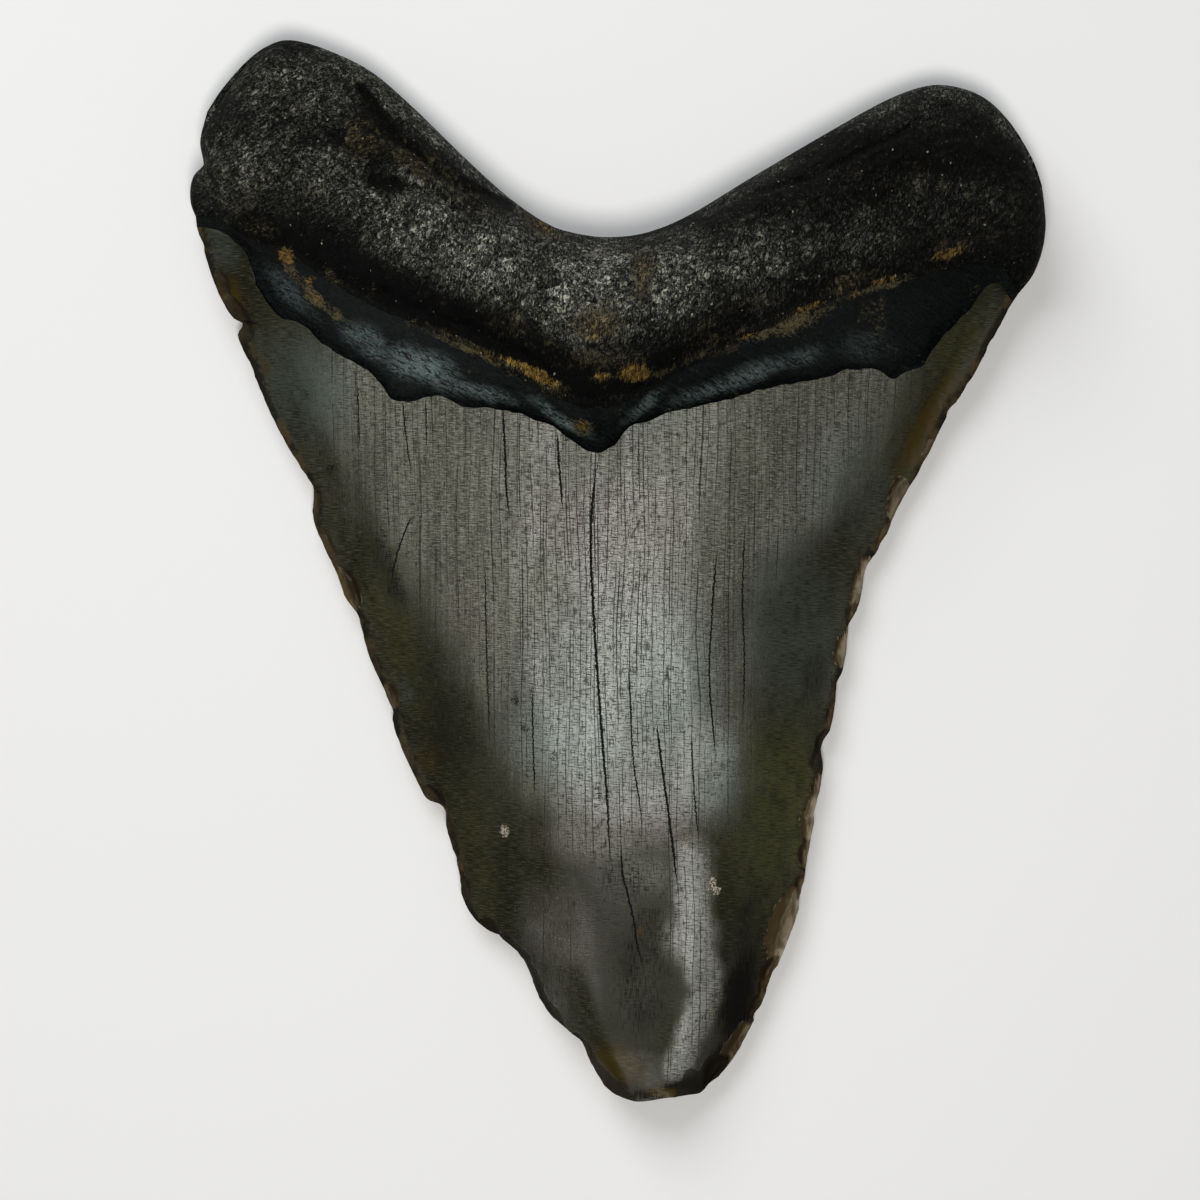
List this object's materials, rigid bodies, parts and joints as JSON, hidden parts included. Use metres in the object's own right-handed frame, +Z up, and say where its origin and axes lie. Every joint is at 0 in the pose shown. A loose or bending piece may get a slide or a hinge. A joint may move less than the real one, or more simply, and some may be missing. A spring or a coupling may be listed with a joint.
{
  "type": "fossil megalodon tooth",
  "caption": "Large triangular fossil shark tooth lying on its labial face, with a grey crown, a dark bourlette and a black root with two lobes.",
  "frame": {"origin": "middle of the box round the tooth, on the surface that it lies on", "axes": "+X to the right across the tooth as its lingual face is seen with the root up, +Y from the tip to the root, +Z up out of the lingual face"},
  "size_m": [0.0967, 0.12, 0.0253],
  "materials": {
    "fossil": "semi-gloss mineralised enamel on the crown, dull and rough on the root"
  },
  "bodies": {
    "root": {"tooth": "fossil"}
  },
  "joints": []
}
